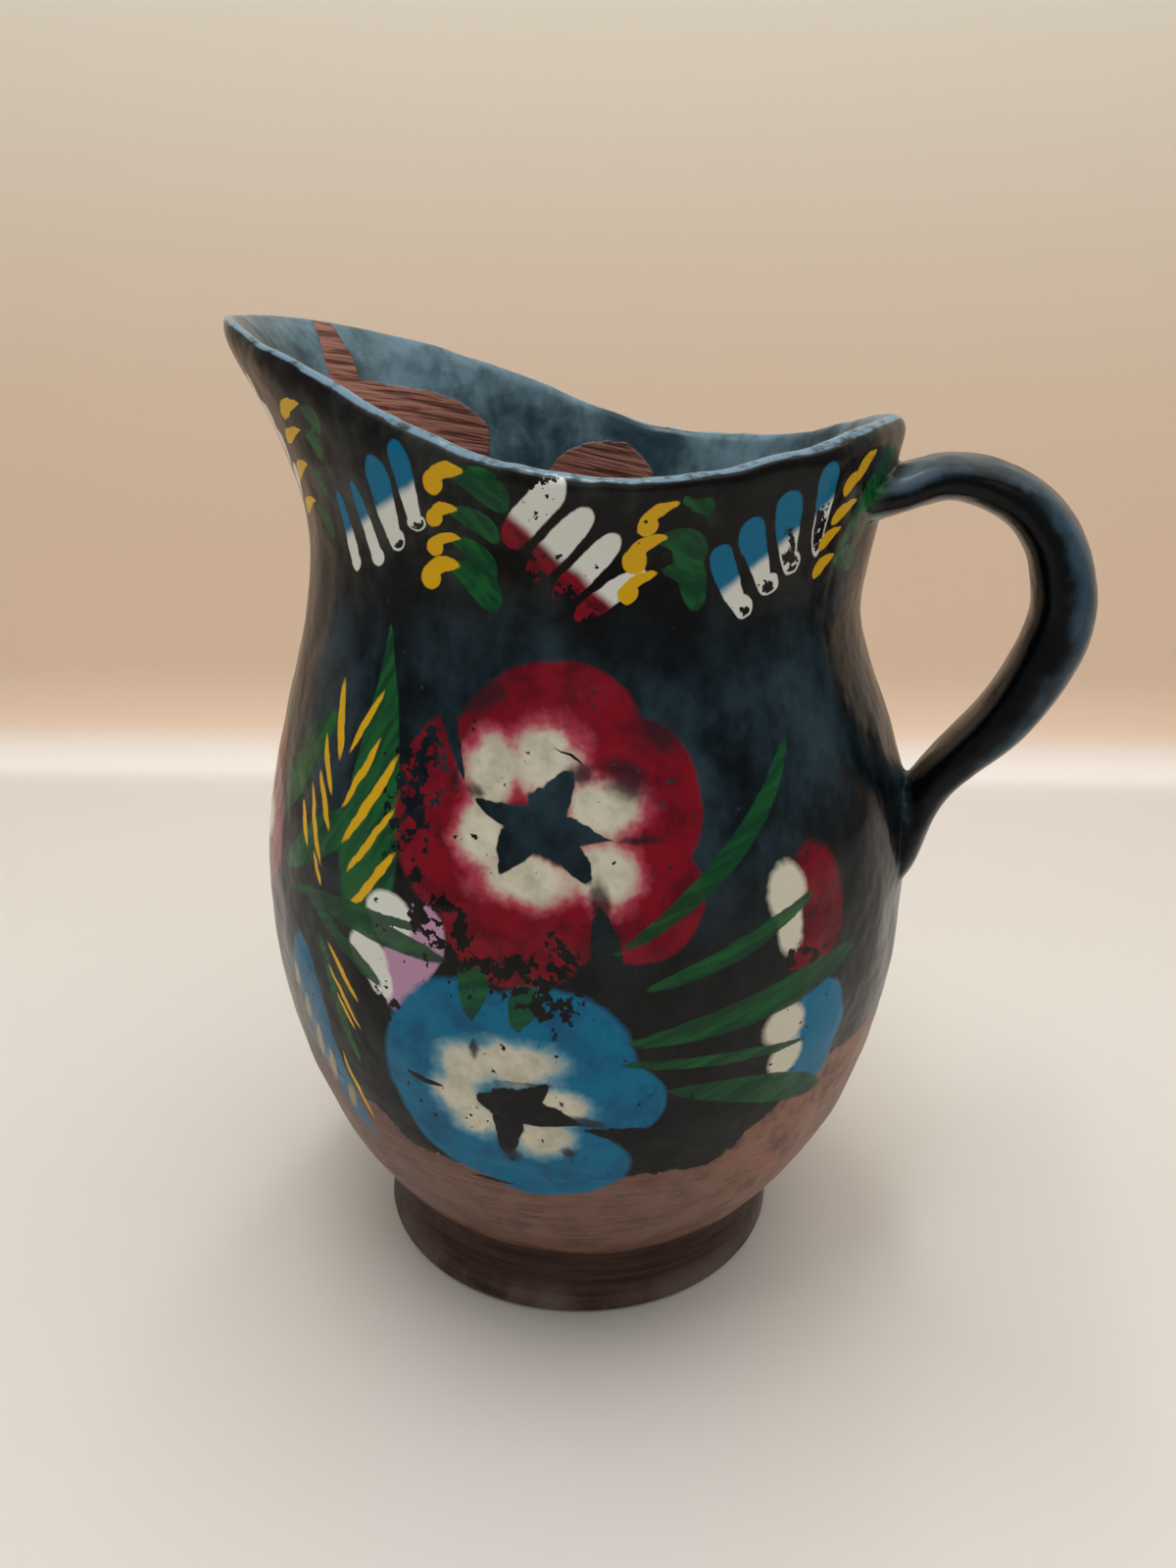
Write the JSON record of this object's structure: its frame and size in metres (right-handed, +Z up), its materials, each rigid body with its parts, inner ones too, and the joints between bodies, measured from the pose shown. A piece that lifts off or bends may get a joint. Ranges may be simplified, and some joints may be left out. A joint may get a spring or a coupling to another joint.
{
  "type": "pitcher",
  "caption": "Round-bellied glazed earthenware pitcher on a low foot, with a drawn-in neck, a rim pulled up into a pouring spout, a pulled strap handle and hand-painted flowers.",
  "frame": {"origin": "on the flat underside of the foot, on the axis that the pot was turned about", "axes": "+Z up along the turning axis, -X towards the spout, +X towards the handle"},
  "size_m": [0.1612, 0.13, 0.1886],
  "materials": {
    "glazed_clay": "clear lead-type glaze over dark slip, bare red-brown clay low on the body and inside the mouth, brush-painted flowers"
  },
  "bodies": {
    "root": {"pitcher": "glazed_clay"}
  },
  "joints": []
}
